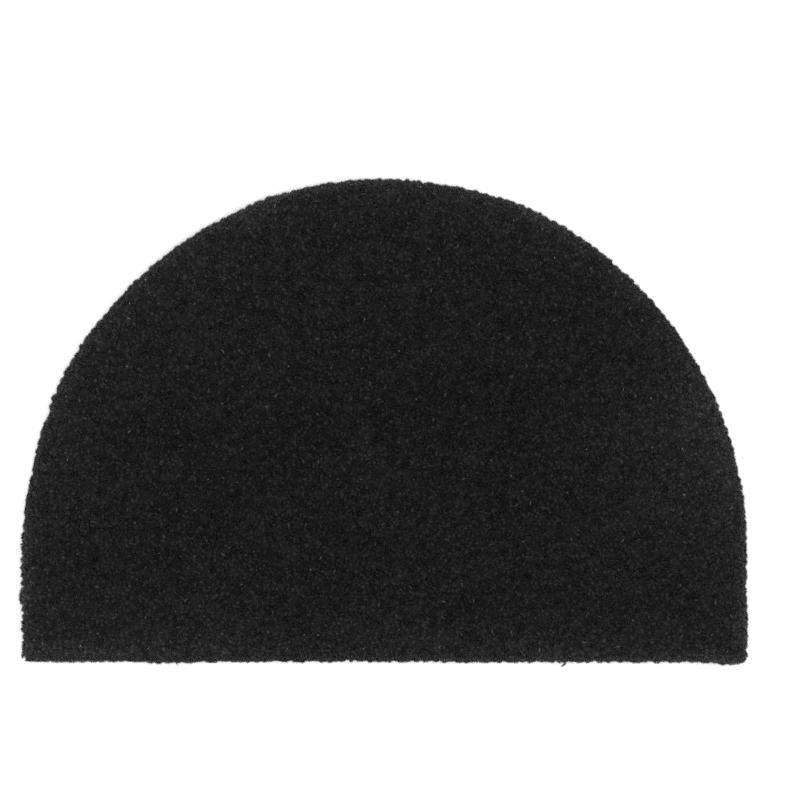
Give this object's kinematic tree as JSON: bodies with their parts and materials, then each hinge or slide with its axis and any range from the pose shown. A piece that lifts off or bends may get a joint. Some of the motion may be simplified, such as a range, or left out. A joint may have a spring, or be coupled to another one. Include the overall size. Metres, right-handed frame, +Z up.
{
  "type": "half round coir doormat",
  "caption": "Flat half-round doormat of dense black coir bristles in a thin PVC backing, with one straight edge and a rounded back.",
  "frame": {"origin": "on the floor, under the middle of the mat's box", "axes": "+X along the straight front edge, to the right as seen from in front and above; +Y from the straight edge to the crown of the arc; +Z up through the pile"},
  "size_m": [0.6028, 0.4024, 0.015],
  "materials": {
    "pile": "dyed black coir bristles, matt, with a faint sheen on single fibres",
    "backing": "matt black PVC sheet"
  },
  "bodies": {
    "root": {"backing": "backing", "pile": "pile"}
  },
  "joints": []
}
